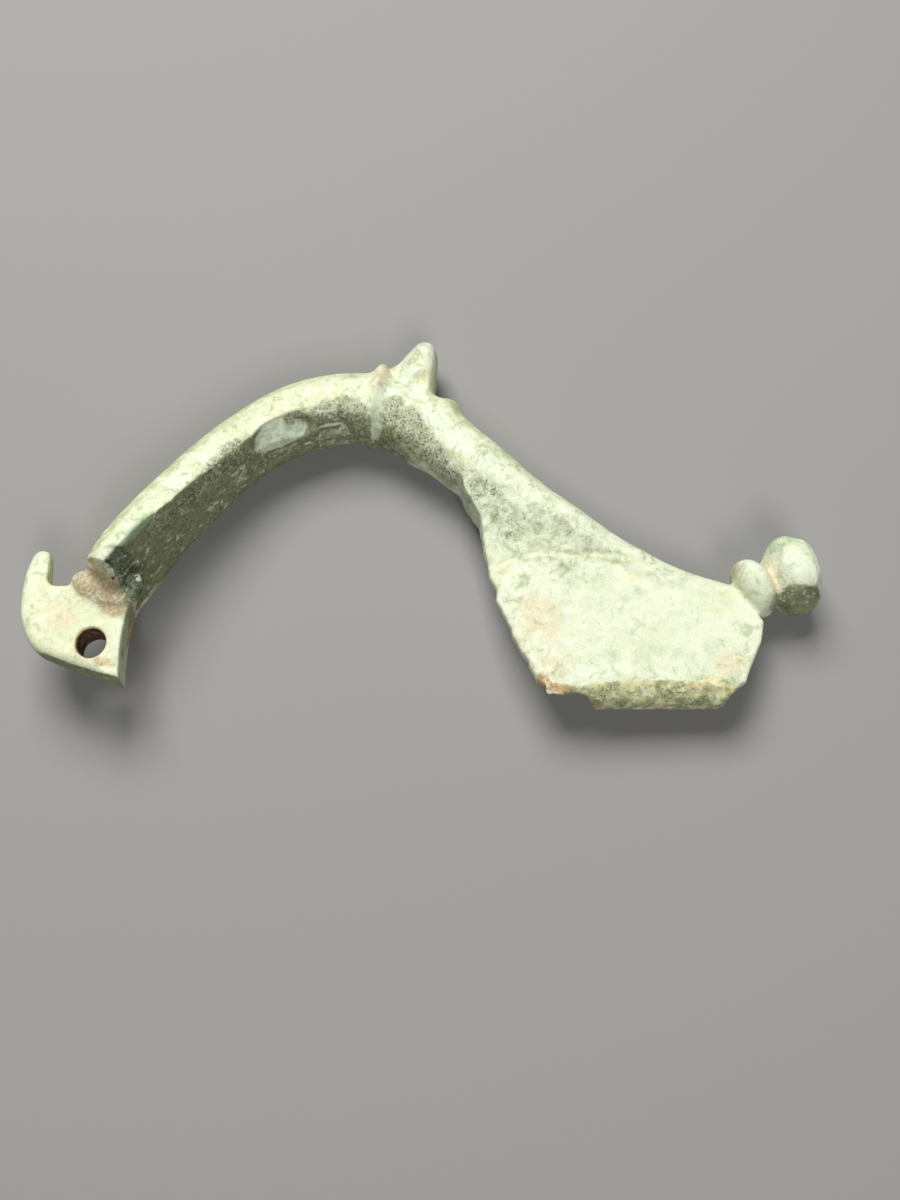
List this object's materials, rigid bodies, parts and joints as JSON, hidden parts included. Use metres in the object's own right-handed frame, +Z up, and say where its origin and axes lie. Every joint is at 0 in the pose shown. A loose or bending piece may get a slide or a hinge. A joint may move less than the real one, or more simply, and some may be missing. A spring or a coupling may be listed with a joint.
{
  "type": "fibula brooch",
  "caption": "Cast bronze bow brooch with a perforated spring lug, crest knob, leg, catch plate and foot knob; its spring and pin are lost.",
  "frame": {"origin": "under the middle of the brooch, on the surface that it lies on", "axes": "+X from the head to the foot, +Y towards the crest knob, +Z up, out of the surface that it lies on"},
  "size_m": [0.0534, 0.0276, 0.0095],
  "materials": {
    "patinated_bronze": "matte, corroded, with pale green patina, dark pitted bands and brown soil"
  },
  "bodies": {
    "root": {"brooch_body": "patinated_bronze"}
  },
  "joints": []
}
